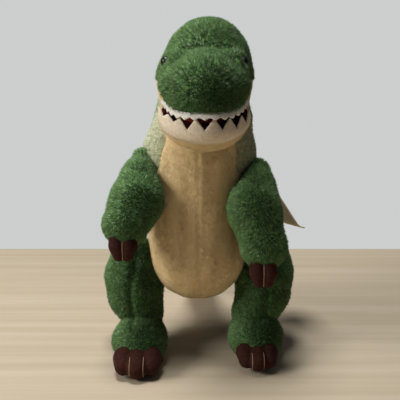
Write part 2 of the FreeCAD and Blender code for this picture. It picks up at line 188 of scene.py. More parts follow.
def woven(name, dark, light, size, rough, bump, depth=0.4, sheen=0.0, tint=(1, 1, 1)):
    """Two tones of one colour in soft patches of a size in millimetres, with a fine raised grain."""
    material = plain(name, light, rough, sheen, tint)
    tree = material.node_tree
    shader = tree.nodes["Principled BSDF"]
    place = tree.nodes.new("ShaderNodeTexCoord")
    patches = tree.nodes.new("ShaderNodeTexNoise")
    patches.inputs["Scale"].default_value = 1 / (size * MM)
    patches.inputs["Detail"].default_value = 5
    patches.inputs["Roughness"].default_value = 0.65
    tone = tree.nodes.new("ShaderNodeValToRGB")
    tone.color_ramp.elements[0].position = 0.32
    tone.color_ramp.elements[0].color = (*dark, 1)
    tone.color_ramp.elements[1].position = 0.68
    tone.color_ramp.elements[1].color = (*light, 1)
    grain = tree.nodes.new("ShaderNodeTexNoise")
    grain.inputs["Scale"].default_value = 1 / (bump * MM)
    grain.inputs["Detail"].default_value = 3
    raised = tree.nodes.new("ShaderNodeBump")
    raised.inputs["Strength"].default_value = depth
    raised.inputs["Distance"].default_value = bump * MM
    tree.links.new(place.outputs["Object"], patches.inputs["Vector"])
    tree.links.new(place.outputs["Object"], grain.inputs["Vector"])
    tree.links.new(patches.outputs["Fac"], tone.inputs["Fac"])
    tree.links.new(tone.outputs["Color"], shader.inputs["Base Color"])
    tree.links.new(grain.outputs["Fac"], raised.inputs["Height"])
    tree.links.new(raised.outputs["Normal"], shader.inputs["Normal"])
    return material


def shades(name, colour, factors, rough, sheen, glint):
    """Fibre materials from dark to light; the last is a painted glint: a pale colour in place of the highlight on a
    fibre that faces the light.
    """
    made = []
    for step, factor in enumerate(factors):
        tone = [min(1.0, channel * factor) for channel in colour]
        made.append(plain(f"{name}_{step}", tone, rough, sheen, glint))
    made.append(plain(f"{name}_glint", glint, 0.45, sheen, glint))
    return made


GREEN = (0.105, 0.195, 0.066)
CREAM = (0.90, 0.69, 0.38)
SAGE = (0.60, 0.61, 0.41)
# Green backing: the cloth's own green, kept darker than the pile as painted shade at the roots between fibres
green_back = woven("green_backing", (0.020, 0.055, 0.018), (0.045, 0.105, 0.036), 6, 0.9, 0.9)
cream_back = woven("cream_backing", (0.78, 0.59, 0.32), (0.88, 0.69, 0.40), 9, 0.9, 0.8, 0.12)
sage_back = woven("sage_backing", (0.36, 0.36, 0.20), (0.54, 0.54, 0.34), 3, 0.95, 1.2)
suede = woven("suede", (0.022, 0.006, 0.004), (0.050, 0.014, 0.008), 2.5, 0.85, 0.5, 0.2, 0.06, (0.5, 0.25, 0.2))
tooth_felt = woven("tooth_felt", (0.62, 0.50, 0.36), (0.78, 0.68, 0.54), 3, 0.95, 0.6, 0.6, 0.2)
lip_felt = woven("lip_felt", (0.74, 0.70, 0.62), (0.90, 0.88, 0.82), 3, 0.95, 0.6, 0.6, 0.2)
lining_felt = woven("lining_felt", (0.045, 0.004, 0.005), (0.10, 0.010, 0.010), 3, 0.95, 0.6)
tongue_felt = woven("tongue_felt", (0.34, 0.040, 0.015), (0.52, 0.080, 0.030), 3, 0.9, 0.6)
thread_yarn = woven("thread_yarn", (0.26, 0.14, 0.10), (0.46, 0.29, 0.22), 0.8, 0.6, 0.3)
pouch_weave = woven("pouch_weave", (0.55, 0.53, 0.48), (0.74, 0.72, 0.67), 2, 0.9, 0.7)
label_weave = woven("label_weave", (0.76, 0.76, 0.73), (0.88, 0.88, 0.86), 1.5, 0.55, 0.4)
card_print = woven("card_print", (0.62, 0.52, 0.36), (0.74, 0.65, 0.48), 9, 0.7, 0.5, 0.1)
eye_gloss = plain("eye_gloss", (0.004, 0.004, 0.004), 0.3, coat=0.15, shine=0.3)
washer_plastic = woven("washer_plastic", (0.62, 0.62, 0.60), (0.70, 0.70, 0.68), 4, 0.5, 0.4, 0.1)
nylon = plain("nylon", (0.75, 0.75, 0.72), 0.3, coat=0.3)
# The last colour of each set is the painted glint, and it is also the sheen tint of every tone
green_pile = shades("green_pile", GREEN, (0.60, 0.85, 1.10, 1.40, 1.80), 0.8, 0.12, (0.44, 0.54, 0.40))
cream_pile = shades("cream_pile", CREAM, (0.96, 0.99, 1.02, 1.05), 0.9, 0.1, (0.92, 0.76, 0.50))
sage_pile = shades("sage_pile", SAGE, (0.72, 0.90, 1.05, 1.2), 0.9, 0.1, (0.82, 0.83, 0.66))


# ------------------------------------------------------------------ soft shapes as distance fields
def soft_union(first, second, blend):
    share = np.clip(0.5 + 0.5 * (second - first) / blend, 0, 1)
    return second * (1 - share) + first * share - blend * share * (1 - share)


def soft_cut(first, tool, blend):
    return -soft_union(-first, tool, blend)


def egg(at, radii):
    """A stuffed ball with three radii."""
    at, radii = np.array(at, float), np.array(radii, float)

    def field(p):
        near = np.linalg.norm((p - at) / radii, axis=1)
        slope = np.linalg.norm((p - at) / radii ** 2, axis=1)
        return near * (near - 1) / np.maximum(slope, 1e-9)
    return field


def limb(stations, blend=3.0):
    """A stuffed tube through balls at (x, y, z, radius)."""
    stations = np.array(stations, float)

    def field(p):
        whole = None
        for start, end in zip(stations, stations[1:]):
            span = end[:3] - start[:3]
            along = np.clip(((p - start[:3]) @ span) / (span @ span), 0, 1)
            near = np.linalg.norm(p - start[:3] - along[:, None] * span, axis=1)
            near -= start[3] + along * (end[3] - start[3])
            whole = near if whole is None else soft_union(whole, near, blend)
        return whole
    return field


def together(parts, blend):
    def field(p):
        whole = parts[0](p)
        for part in parts[1:]:
            whole = soft_union(whole, part(p), blend)
        return whole
    return field


def lumps(size, seed):
    """Slow unevenness of stuffing, between -1 and 1, in lumps of about that size."""
    rng = np.random.default_rng(seed)
    waves = rng.normal(size=(7, 3)) * (2.2 / size)
    phases = rng.uniform(0, 2 * math.pi, 7)
    return lambda p: np.sin(p @ waves.T + phases).mean(axis=1) * 1.6


def stuffed(shape, seams=(), amount=0.8, size=16, seed=1):
    """A shape with uneven stuffing, pulled in along its seams, given as (field, depth, half width)."""
    uneven = lumps(size, seed)

    def field(p):
        value = shape(p) - amount * uneven(p)
        for seam, depth, width in seams:
            value = value + depth * np.exp(-(seam(p) / width) ** 2)
        return value
    return field


def ramp(value, start, end):
    share = np.clip((value - start) / (end - start), 0, 1)
    return share * share * (3 - 2 * share)


# ------------------------------------------------------------------ from a field to a mesh
def skin(field, low, high, step):
    """Points and quads on the surface of a field, one point for each cell that it passes through."""
    lines = [np.arange(a, b + step, step) for a, b in zip(low, high)]
    grid = np.stack(np.meshgrid(*lines, indexing="ij"), -1)
    value = np.concatenate([field(part) for part in np.array_split(grid.reshape(-1, 3), 12)])
    value = value.reshape(grid.shape[:3])
    cells = tuple(n - 1 for n in value.shape)
    total, count = np.zeros((*cells, 3)), np.zeros(cells)
    crossings = []
    for axis in range(3):
        near = np.moveaxis(value, axis, 0)
        first, second = near[:-1], near[1:]
        crosses = (first < 0) != (second < 0)
        share = np.where(crosses, first / np.where(crosses, first - second, 1), 0)
        start = np.moveaxis(grid, axis, 0)[:-1]
        point = start.copy()
        point[..., axis] += share * step
        crossings.append((crosses, first < 0))
        rotated_total, rotated_count = np.moveaxis(total, axis, 0), np.moveaxis(count, axis, 0)
        rows, columns = rotated_count.shape[1:]
        for a in (0, 1):
            for b in (0, 1):
                window = (slice(None), slice(a, a + rows), slice(b, b + columns))
                rotated_total += np.where(crosses[window][..., None], point[window], 0)
                rotated_count += crosses[window]
    number = np.full(cells, -1)
    used = count > 0
    number[used] = np.arange(used.sum())
    points = total[used] / count[used][:, None]
    quads = []
    for axis, (crosses, inside) in enumerate(crossings):
        turned = np.moveaxis(number, axis, 0)
        layer, row, column = np.nonzero(crosses[:, 1:-1, 1:-1])
        quad = np.stack([turned[layer, row + a, column + b] for a, b in ((0, 0), (1, 0), (1, 1), (0, 1))], 1)
        outward = inside[:, 1:-1, 1:-1][layer, row, column] ^ (axis == 1)
        quad[~outward] = quad[~outward][:, ::-1]
        quads.append(quad)
    quads = np.concatenate(quads)
    for _ in range(2):
        points = settle(points, field, step)
    return points, quads[(quads >= 0).all(axis=1)]


def settle(points, field, reach):
    """Points moved onto the field's surface along its slope."""
    slope = gradient(points, field)
    shift = field(points) / np.maximum((slope ** 2).sum(axis=1), 0.2)
    return points - slope * np.clip(shift, -reach, reach)[:, None]


def gradient(points, field, width=0.4):
    around = np.eye(3) * width
    return np.stack([(field(points + a) - field(points - a)) / (2 * width) for a in around], 1)


def piece(name, points, faces, materials, body, slot, which=None):
    """A smooth mesh object from points in millimetres, riding on a body. which picks each face's material."""
    faces = np.asarray(faces)
    mesh = bpy.data.meshes.new(name)
    mesh.vertices.add(len(points))
    mesh.vertices.foreach_set("co", (np.asarray(points) * MM).astype(np.float32).ravel())
    mesh.loops.add(faces.size)
    mesh.loops.foreach_set("vertex_index", faces.astype(np.int32).ravel())
    mesh.polygons.add(len(faces))
    mesh.polygons.foreach_set("loop_start", np.arange(0, faces.size, faces.shape[1], dtype=np.int32))
    mesh.polygons.foreach_set("loop_total", np.full(len(faces), faces.shape[1], np.int32))
    mesh.polygons.foreach_set("use_smooth", np.full(len(faces), True))
    for material in materials:
        mesh.materials.append(material)
    if which is not None:
        mesh.polygons.foreach_set("material_index", np.asarray(which, np.int32))
    mesh.update(calc_edges=True)
    obj = bpy.data.objects.new(name, mesh)
    bpy.context.scene.collection.objects.link(obj)
    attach(obj, body)
    return obj


def trim(obj, field):
    """Cut the mesh cleanly along field = 0 and keep the side where it is positive."""
    bm = bmesh.new()
    bm.from_mesh(obj.data)
    kept_x = bm.verts.layers.float.new("kept_x")
    place = np.array([v.co for v in bm.verts]) / MM
    for vert, value in zip(bm.verts, field(place)):
        vert[kept_x] = vert.co.x
        vert.co.x = value * MM
    everything = bm.verts[:] + bm.edges[:] + bm.faces[:]
    bmesh.ops.bisect_plane(bm, geom=everything, plane_co=(0, 0, 0), plane_no=(1, 0, 0), clear_inner=True)
    for vert in bm.verts:
        vert.co.x = vert[kept_x]
    bm.verts.layers.float.remove(kept_x)
    bm.to_mesh(obj.data)
    bm.free()


def thicken(obj, thick, offset=-1):
    """Cloth has a thickness: the skin becomes a closed shell, on its inner side unless offset is 0 (both sides)."""
    cloth = obj.modifiers.new("cloth", "SOLIDIFY")
    cloth.thickness = thick * MM
    cloth.offset = offset


# ------------------------------------------------------------------ pile
def surface_samples(obj, per_mm2, rng):
    """Random points on a mesh in millimetres with their normals, spread evenly by area."""
    mesh = obj.data
    mesh.calc_loop_triangles()
    place = np.zeros(len(mesh.vertices) * 3)
    mesh.vertices.foreach_get("co", place)
    normal = np.zeros(len(mesh.vertices) * 3)
    mesh.vertices.foreach_get("normal", normal)
    triangles = np.zeros(len(mesh.loop_triangles) * 3, np.int32)
    mesh.loop_triangles.foreach_get("vertices", triangles)
    place, normal, triangles = place.reshape(-1, 3) / MM, normal.reshape(-1, 3), triangles.reshape(-1, 3)
    a, b, c = (place[triangles[:, n]] for n in range(3))
    area = np.linalg.norm(np.cross(b - a, c - a), axis=1) / 2
    count = int(area.sum() * per_mm2)
    chosen = rng.choice(len(area), count, p=area / area.sum())
    u, v = rng.random((2, count, 1))
    flip = (u + v > 1)
    u, v = np.where(flip, 1 - u, u), np.where(flip, 1 - v, v)
    w = 1 - u - v
    points = a[chosen] * w + b[chosen] * u + c[chosen] * v
    na, nb, nc = (normal[triangles[chosen, n]] for n in range(3))
    normals = na * w + nb * u + nc * v
    return points, normals / np.linalg.norm(normals, axis=1, keepdims=True)


CELL_PRIMES, SEED_PRIME = [73856093, 19349663, 83492791], 7919
HASH_FACTORS = (2654435761, 2246822519, 3266489917)


def tuft_centres(points, size, rng_seed):
    """For each point the middle of the tuft that it belongs to, and a number for that tuft."""
    cell = np.floor(points / size).astype(np.int64)
    best = np.full(len(points), 1e9)
    centre, label = np.zeros_like(points), np.zeros(len(points), np.int64)
    for shift in np.ndindex(3, 3, 3):
        near = cell + np.array(shift) - 1
        key = (near @ np.array(CELL_PRIMES) + rng_seed * SEED_PRIME) & 0xFFFFFF
        jitter = np.stack([((key * factor) >> 8 & 0xFFFF) / 65535 for factor in HASH_FACTORS], 1)
        place = (near + jitter) * size
        far = ((points - place) ** 2).sum(axis=1)
        closer = far < best
        best[closer], centre[closer], label[closer] = far[closer], place[closer], key[closer]
    return centre, label


def unit(vectors):
    return vectors / np.maximum(np.linalg.norm(vectors, axis=1, keepdims=True), 1e-9)


SPIKES_A_PIECE = 49000      # keeps a piece under 200,000 faces
TUFT_KINDS = 4096
THIRD_TURN = 2.0944
SPIKE_FACES = ((0, 1, 3), (1, 2, 3), (2, 0, 3), (0, 2, 1))
ROOT_DEPTH = 0.5            # how far a spike starts below the skin
# Share of fibres that get the pale glint colour at random: a painted highlight
GLINT_SHARE = 0.03


def add_pile(name, base, body, slot, tones, length, width, per_mm2, tuft, pull, ruffle, comb, seed, floor=0.4,
             keep_clear=None):
    """Closed thin spikes that stand on a skin in tufts.

    comb is the way the pile is brushed, pull gathers the tips into tufts, ruffle varies a tuft's shading, and
    floor is the lowest height of a tip.
    """
    rng = np.random.default_rng(seed)
    root, normal = surface_samples(base, per_mm2, rng)
    if keep_clear is not None:
        stays = keep_clear(root)
        root, normal = root[stays], normal[stays]
    count = len(root)
    centre, label = tuft_centres(root, tuft, seed)
    tuft_rng = np.random.default_rng(seed + 1)
    table = tuft_rng.normal(size=(TUFT_KINDS, 4))
    own = table[label % TUFT_KINDS]
    brushed = np.array(comb) + 0.24 * own[:, :3]
    brushed = brushed - (brushed * normal).sum(axis=1, keepdims=True) * normal
    heading = unit(normal + brushed + 0.16 * rng.normal(size=(count, 3)))
    reach = length * rng.uniform(0.78, 1.06, (count, 1)) * (1 + 0.05 * own[:, 3:])
    gather = centre - root
    gather = gather - (gather * normal).sum(axis=1, keepdims=True) * normal
    tip = root + heading * reach + gather * pull
    tip[:, 2] = np.maximum(tip[:, 2], floor)
    side = unit(np.cross(heading, rng.normal(size=(count, 3))))
    other = np.cross(heading, side)
    radius = width / 2 * rng.uniform(0.75, 1.25, (count, 1))
    spokes = [side * math.cos(turn) + other * math.sin(turn) for turn in (0, THIRD_TURN, 2 * THIRD_TURN)]
    rings = [root - normal * ROOT_DEPTH + radius * spoke for spoke in spokes]
    for ring in rings:
        ring[:, 2] = np.maximum(ring[:, 2], floor / 2)
    points = np.stack([*rings, tip], 1).reshape(-1, 3)
    lit = unit(normal + ruffle * own[:, :3] + 0.18 * rng.normal(size=(count, 3)))
    normals = np.stack([*(unit(lit + 0.45 * spoke) for spoke in spokes), lit], 1).reshape(-1, 3)
    first = np.arange(count)[:, None] * 4
    faces = np.stack([first + np.array(face) for face in SPIKE_FACES], 1).reshape(-1, 3)
    last = len(tones) - 2
    level = 0.5 + 0.6 * ruffle * own[:, 3] + 0.20 * rng.normal(size=count)
    tone = np.clip((level * (last + 1)).astype(int), 0, last)
    # Painted highlight: a few fibres, picked at random, take the glint colour
    tone[rng.random(count) < GLINT_SHARE] = last + 1
    for part, start in enumerate(range(0, count, SPIKES_A_PIECE)):
        end = min(start + SPIKES_A_PIECE, count)
        some = slice(start * 4, end * 4)
        spikes = piece(f"{name}_{part + 1}", points[some], faces[some] - start * 4, tones, body, slot,
                       np.repeat(tone[start:end], 4))
        spikes.data.normals_split_custom_set_from_vertices(normals[some])


GREEN_PILE = dict(slot="green_plush", tones=green_pile, length=PILE, width=0.5, per_mm2=2.9, tuft=2.4, pull=0.22,
                  ruffle=0.2)
CREAM_VELVET = dict(slot="cream_plush", tones=cream_pile, length=SHORT_PILE, width=0.5, per_mm2=3.0, tuft=4.0,
                    pull=0.06, ruffle=0.08)
SAGE_CURL = dict(slot="sage_plush", tones=sage_pile, length=CURLY_PILE, width=0.7, per_mm2=1.8, tuft=2.0, pull=0.5,
                 ruffle=0.2)


def panel(name, surface, cuts, backing, body, nodes, pile, comb, seed, keep_clear=None):
    """A sewn plush panel: the part of a skin inside its cuts, as a cloth shell, with its pile."""
    cloth = piece(name, *surface, [backing], body, pile["slot"])
    for edge in cuts:
        trim(cloth, edge)
    add_pile(f"{name}_pile", cloth, body, comb=comb, seed=seed, keep_clear=keep_clear, **pile)
    thicken(cloth, BACKING_THICK)
    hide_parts(*nodes)


def other_side(field):
    return lambda p: -field(p)


# ------------------------------------------------------------------ torso
def make_torso():
    trunk = limb([
        (BODY_X, BODY_Y - 8, BELLY_Z + 44.5, 47), (BODY_X, BODY_Y - 2, BELLY_Z + 91, 47),
        (BODY_X + 0.5, BODY_Y, BELLY_Z + 121, 48), (BODY_X + 2, BODY_Y, BELLY_Z + 141, 47),
        (HEAD_X - 2, BODY_Y, BELLY_Z + 158, 44.5), (HEAD_X - 1, BODY_Y - 1, BELLY_Z + 171, 42.5),
        (HEAD_X - 2, BODY_Y - 2, BELLY_Z + 187, 37),
    ], 6)
    shoulders = egg((BODY_X + 1.5, BODY_Y, BELLY_Z + 139), (51, 40, 32))
    body = together([trunk, shoulders], 8)

    def belly_seam(p):
        """Positive in front of the belly panel's side seams, which pass in front of the shoulders."""
        line = BODY_Y - 4 - 29 * ramp(p[:, 2], BELLY_Z + 98, BELLY_Z + 134)
        return line + 16 * ramp(p[:, 2], BELLY_Z + 156, BELLY_Z + 178) - p[:, 1]

    def back_seam(p):
        """Positive behind the back panel's side seams, which meet the belly seams on the neck."""
        return p[:, 1] - (BODY_Y + 12 - 14 * ramp(p[:, 2], BELLY_Z + 144, BELLY_Z + 173))

    def middle_seam(p):
        return np.where(p[:, 1] < BODY_Y, p[:, 0] - (BODY_X + 3 * ramp(p[:, 2], BELLY_Z + 70, BELLY_Z)), 20)

    field = stuffed(body, [(belly_seam, 1.6, 2.2), (back_seam, 1.4, 2.5), (middle_seam, 0.6, 1.4)], 0.9, 20, 3)
    low = (BODY_X - 58, BODY_Y - 60, BELLY_Z - 6)
    high = (BODY_X + 60, BODY_Y + 56, BELLY_Z + 231)
    whole = skin(field, low, high, 2.2)

    def left_half(p):
        return p[:, 0] - BODY_X

    panel("belly_plush", whole, [belly_seam], cream_back, "torso", ["belly_panel", "torso_stuffing"],
          CREAM_VELVET, (0, 0, -0.5), 11)
    panel("back_plush", whole, [back_seam], green_back, "torso", ["back_panel"], GREEN_PILE, (0, 0, -0.4), 12)
    for name, half in (("left_side_plush", left_half), ("right_side_plush", other_side(left_half))):
        panel(name, whole, [other_side(belly_seam), other_side(back_seam), half], sage_back, "torso",
              [name.replace("_plush", "_panel")], SAGE_CURL, (0, 0, -0.2), 13)


# ------------------------------------------------------------------ head
EYE_SOCKET = 5.5
BARE_ROUND_EYE = 4.6


def from_eyes(p, offset):
    """Distances from a place by each eye, offset outward, along Y and up."""
    for eye in EYE_AT.values():
        side = np.sign(eye[0] - HEAD_X)
        yield np.linalg.norm(p - (eye + np.array([side * offset[0], *offset[1:]])), axis=1)


def head_shape():
    centre_z = CROWN_Z - 46.5
    skull = egg((HEAD_X + 3, -32, centre_z), (37.5, 45, 41.5))
    snout = limb([(HEAD_X, -60, centre_z - 12, 34), (HEAD_X, SNOUT_Y + PILE + 31, centre_z - 16.5, 31.5)], 6)
    round_parts = [skull, snout]
    for side in (-1, 1):
        round_parts.append(egg((HEAD_X + side * 20, -80, centre_z - 12), (17.5, 24, 18)))
        round_parts.append(egg((HEAD_X + side * 11, -34, centre_z - 15), (31, 32, 31)))
    front = together(round_parts, 7)
    brows = together([egg((HEAD_X + side * 20, -64, centre_z + 8), (15, 16, 12)) for side in (-1, 1)]
                     + [egg((HEAD_X + side * 23, -73, centre_z + 3), (12, 14, 13)) for side in (-1, 1)], 4)
    jowls = limb([(HEAD_X, -31, centre_z - 14, 40.5), (HEAD_X, -28, LIP_Z - 8, 40)], 4)

    def crease(p):
        """The brow seam, between the skull and the muzzle."""
        return np.where(p[:, 2] > centre_z + 3, p[:, 1] + 76 - 0.010 * (p[:, 0] - HEAD_X) ** 2, 30)

    def field(p):
        value = soft_union(soft_union(front(p), brows(p), 6), jowls(p), 5)
        mouth = np.maximum(p[:, 1] + 62, p[:, 2] - lip_line(p) + 1.5)
        value = soft_cut(value, mouth, 2.5)
        for far in from_eyes(p, (6.5, -1.5, 0.5)):
            value = soft_cut(value, far - EYE_SOCKET, 3)
        return value
    return stuffed(field, [(crease, 2.2, 3.6)], 0.7, 17, 5)


def lip_line(p):
    """The lower edge of the muzzle, which rises from its tip to the corners of the mouth."""
    return LIP_Z - 5.5 + 7 * ramp(p[:, 1], SNOUT_Y + 8, SNOUT_Y + 46)


def cap_seam(p):
    """Positive above the seam between the green cap and the cream cheeks, which drops to the nape."""
    rise = 13 * ramp(p[:, 1], SNOUT_Y + 26, SNOUT_Y + 62) - 38 * ramp(p[:, 1], SNOUT_Y + 98, SNOUT_Y + 130)
    return p[:, 2] - (lip_line(p) + rise)


def make_head():
    field = head_shape()
    low = (HEAD_X - 52, SNOUT_Y - 4, LIP_Z - 30)
    high = (HEAD_X + 52, 24, CROWN_Z + 4)
    whole = skin(field, low, high, 2.0)

    def behind_mouth(p):
        return p[:, 1] + 61

    def neck_hole(p):
        return p[:, 2] - (LIP_Z - 22)

    def off_the_eyes(p):
        stays = np.ones(len(p), bool)
        for far in from_eyes(p, (5, -1, 0)):
            stays &= far > BARE_ROUND_EYE
        return stays

    panel("head_cap_plush", whole, [cap_seam], green_back, "head", ["head_cap", "head_stuffing"], GREEN_PILE,
          (0, -0.25, -0.2), 21, off_the_eyes)
    panel("cheek_plush", whole, [other_side(cap_seam), behind_mouth, neck_hole], cream_back, "head",
          ["cheek_panel", "cheek_stuffing"], CREAM_VELVET, (0, 0.2, -0.3), 22)
    roof = piece("mouth_roof_felt", *whole, [lining_felt], "head", "mouth_lining")
    trim(roof, other_side(cap_seam))
    trim(roof, other_side(behind_mouth))
    thicken(roof, LINING_THICK)
    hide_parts("mouth_roof")
    return field


# ------------------------------------------------------------------ jaw
def jaw_rim(p):
    return CHIN_Z + 17 + 13 * ramp(p[:, 1], CHIN_Y + 10, CHIN_Y + 55)


def make_jaw():
    bowl = egg((HEAD_X, CHIN_Y + 39, CHIN_Z + 26), (38.5, 41, 31))

    def field(p):
        value = bowl(p)
        value = soft_cut(value, jaw_rim(p) - p[:, 2], 2)
        return soft_cut(value, -48 - p[:, 1], 3)
    field = stuffed(field, [], 0.6, 17, 6)
    low = (HEAD_X - 46, CHIN_Y - 6, CHIN_Z - 4)
    high = (HEAD_X + 46, -38, CHIN_Z + 44)
    whole = skin(field, low, high, 1.8)

    def under_rim(p):
        return jaw_rim(p) - 1.6 - p[:, 2]

    panel("jaw_plush", whole, [under_rim], cream_back, "jaw", ["jaw_cover", "jaw_stuffing"], CREAM_VELVET,
          (0, 0.1, -0.3), 31)
    floor = piece("mouth_floor_felt", *whole, [lining_felt], "jaw", "mouth_lining")
    trim(floor, other_side(under_rim))
    thicken(floor, LINING_THICK)
    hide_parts("mouth_floor")
    return field


# ------------------------------------------------------------------ felt teeth and tongue
def on_surface(field, turns, heights, centre):
    """Where rays from a vertical axis meet a field's surface, for each turn from straight ahead."""
    outward = np.stack([np.sin(turns), -np.cos(turns), np.zeros_like(turns)], 1)
    start = np.stack([np.full_like(turns, centre[0]), np.full_like(turns, centre[1]), heights], 1)
    near, far = np.zeros_like(turns), np.full_like(turns, 70.0)
    for _ in range(26):
        half = (near + far) / 2
        outside = field(start + outward * half[:, None]) > 0
        near, far = np.where(outside, near, half), np.where(outside, half, far)
    return start + outward * near[:, None], outward


def strip(name, rows, thick, material, body, slot, nodes):
    """A felt strip from rows of points, top row first."""
    across = len(rows[0])
    points = np.concatenate(rows)
    faces = []
    for row in range(len(rows) - 1):
        for step in range(across - 1):
            corner = row * across + step
            faces.append((corner, corner + 1, corner + across + 1, corner + across))
    felt = piece(name, points, faces, [material], body, slot)
    thicken(felt, thick, offset=0)
    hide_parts(*nodes)
    return felt


def zigzag(share, count):
    """0 in the valleys and 1 at the points, along a strip with that many teeth."""
    return 1 - np.abs(2 * ((share * count) % 1) - 1)


def make_teeth(head_field, jaw_field):
    centre = (HEAD_X, -72)
    share = np.linspace(0, 1, 241)
    upper_reach, upper_count = 98, 21
    lower_reach, lower_count = 68, 8
    turns = np.radians(-upper_reach + 2 * upper_reach * share)

    def from_edge(field, edge, start, above):
        """The felt's base line, at a height above the edge of a lip that is looked for from a first height."""
        place, _ = on_surface(field, turns, np.full_like(turns, start), centre)
        line = edge(place)
        return (*on_surface(field, turns, line + above, centre), line)

    base, outward, edge = from_edge(head_field, lip_line, LIP_Z + 6, 2.0)
    point = zigzag(share, upper_count)
    rows = []
    for down, out, tooth in ((-2, 0.4, 0), (0.5, 1.4, 0), (1.8, 2.0, 0), (1.8, 2.3, 2.6)):
        place = base + outward * out
        place[:, 2] = edge - down - tooth * point
        rows.append(place)
    strip("upper_teeth_felt", rows, UPPER_FELT_THICK, lip_felt, "head", "tooth_felt", ["upper_teeth"])

    turns = np.radians(-lower_reach + 2 * lower_reach * share)
    off = np.abs(turns) / math.radians(lower_reach)
    closed = ramp(-np.degrees(turns), 20, 36)
    point = zigzag(share, lower_count) ** 0.9
    rows = []
    _, outward, edge = from_edge(jaw_field, jaw_rim, CHIN_Z + 14, -2.0)
    bottom = CHIN_Z + 6 + 13 * off ** 2
    for lift in (0, 0.5, 1.0):
        place, _ = on_surface(jaw_field, turns, bottom + lift * (edge - 2.2 - bottom), centre)
        rows.append(place + outward * 0.9)
    tall = 10.5 * (1 - 0.25 * off ** 2) * (1 - 0.5 * closed)
    for lift in (0, 0.35, 0.7, 1.0):
        place = rows[2] + outward * (0.3 - 0.7 * lift)
        place[:, 2] = edge + 0.6 + tall * lift * point + 6 * closed * lift
        rows.append(place)
    strip("lower_teeth_felt", rows[::-1], LOWER_FELT_THICK, tooth_felt, "jaw", "tooth_felt", ["lower_teeth"])

    low, high = corners("tongue")
    at = (low + high) / 2
    body = egg((at[0], at[1] - 2, low[2] + 2.5), ((high[0] - low[0]) / 2 + 3, (high[1] - low[1]) / 2 + 3, 4.2))

    def groove(p):
        return p[:, 0] - at[0]
    field = stuffed(body, [(groove, 1.2, 1.5)], 0.3, 8, 7)
    points, quads = skin(field, low - 12, high + 12, 1.5)
    tongue = piece("tongue_soft", points, quads, [tongue_felt], "jaw", "tongue_felt")
    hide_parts("tongue")


# ------------------------------------------------------------------ stitched threads
TUBE_SIDES = 8
STITCH_POINTS = 15


def thread_along(name, path, body, nodes):
    """A stitched thread along points on a surface."""
    path = np.array(path)
    ahead = unit(np.gradient(path, axis=0))
    side = unit(np.cross(ahead, (0.3, 0.5, 0.8)))
    other = np.cross(ahead, side)
    turns = np.arange(TUBE_SIDES) * math.pi / 4
    ring = [path + THREAD_RADIUS * (side * math.cos(turn) + other * math.sin(turn)) for turn in turns]
    points = np.stack(ring, 1).reshape(-1, 3)
    faces = []
    for step in range(len(path) - 1):
        for corner in range(TUBE_SIDES):
            a, b = step * TUBE_SIDES + corner, step * TUBE_SIDES + (corner + 1) % TUBE_SIDES
            faces.append((a, b, b + TUBE_SIDES, a + TUBE_SIDES))
    thread = piece(name, points, faces, [thread_yarn], body, "stitch_thread")
    if nodes:
        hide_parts(*nodes)


def surface_line(field, start, heading, inside):
    """Points where rays from inside leave a surface; heading gives each ray's direction."""
    path = []
    for step in np.linspace(0, 1, STITCH_POINTS):
        way = np.array(heading(step), float)
        way /= np.linalg.norm(way)
        near, far = 0.0, inside
        for _ in range(22):
            half = (near + far) / 2
            if field((start + way * half)[None])[0] > 0:
                far = half
            else:
                near = half
        path.append(start + way * near)
    return path


# ------------------------------------------------------------------ arms
def make_arm(side):
    out = 1 if side == "left" else -1
    shoulder = pivots[f"{side}_shoulder"]
    low, high = corners(f"{side}_hand_claws")
    paw = np.array([(low[0] + high[0]) / 2, (low[1] + high[1]) / 2, high[2]])
    top = shoulder + np.array({"left": (-5, 2, 1), "right": (10, 2, 3)}[side])
    elbow = shoulder + np.array({"left": (-10, -33, -27), "right": (6, -31, -28)}[side])
    wrist = paw + np.array({"left": (8, 8, 12), "right": (-3.5, 8, 11)}[side])
    between = top * 0.5 + elbow * 0.5 + np.array([0, -1, 0])
    whole = limb([(*top, 9), (*between, 15), (*elbow, 21), (*wrist, 19.5)], 9)
    field = stuffed(whole, [], 0.9, 13, 8)
    reach_low = np.minimum(np.minimum(top, elbow), wrist) - 32
    reach_high = np.maximum(np.maximum(top, elbow), wrist) + 32

    claw_top = paw + np.array({"left": (7.0, -1, 0), "right": (-5.5, -1, 3)}[side])

    def off_the_claws(p):
        return np.linalg.norm(p - claw_top + (0, 3, 7), axis=1) > 13

    panel(f"{side}_arm_plush", skin(field, reach_low, reach_high, 2.0), [], green_back, f"{side}_arm",
          [f"{side}_arm_cover", f"{side}_arm_stuffing"], GREEN_PILE, (0, 0, -0.5), 40 + out, off_the_claws)

    claws = together([limb([(*(claw_top + np.array([x, 1, 1])), 7.6),
                            (*(claw_top + np.array([x * 1.05, -3, -9])), 7.4),
                            (*(claw_top + np.array([x * 0.8, -4, -17])), 5.4)], 2) for x in (-4.8, 4.8)], 2.0)
    claw_field = stuffed(claws, [], 0.25, 6, 9)
    points, quads = skin(claw_field, claw_top - 28, claw_top + 20, 1.1)
    claw = piece(f"{side}_claws_suede", points, quads, [suede], f"{side}_arm", "brown_suede")
    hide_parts(f"{side}_hand_claws", f"{side}_claw_stuffing")
    line = surface_line(claw_field, claw_top + np.array([0, -1, -7.0]),
                        lambda t: (0, -math.cos(1.1 - 2.5 * t), math.sin(1.1 - 2.5 * t)), 20)
    thread_along(f"{side}_claw_stitch", np.array(line) + (0, -0.1, 0), f"{side}_arm", [f"{side}_claw_thread"])


